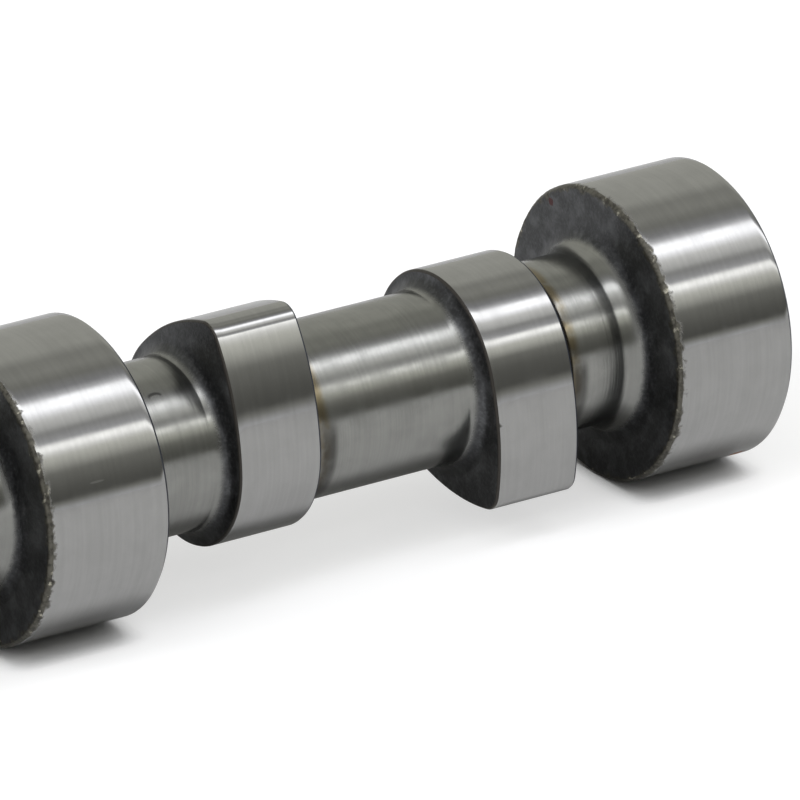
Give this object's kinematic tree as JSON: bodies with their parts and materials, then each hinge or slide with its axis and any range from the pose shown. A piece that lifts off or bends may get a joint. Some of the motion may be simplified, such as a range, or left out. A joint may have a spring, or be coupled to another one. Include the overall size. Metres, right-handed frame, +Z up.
{
  "type": "camshaft",
  "caption": "One-piece steel camshaft with ground bearing journals, paired lobes in each bay, plain shaft between them, and a keyed gear seat at the drive end.",
  "frame": {"origin": "centre of the front bearing journal, on the shaft's axis", "axes": "+X along the shaft from the drive end to the rear, +Z up through the key slot"},
  "size_m": [0.5365, 0.05, 0.05],
  "materials": {
    "ground_steel": "ground and polished on journals and lobes, satin turned between them, dark and rough on the sides"
  },
  "bodies": {
    "root": {"camshaft": "ground_steel"}
  },
  "joints": []
}
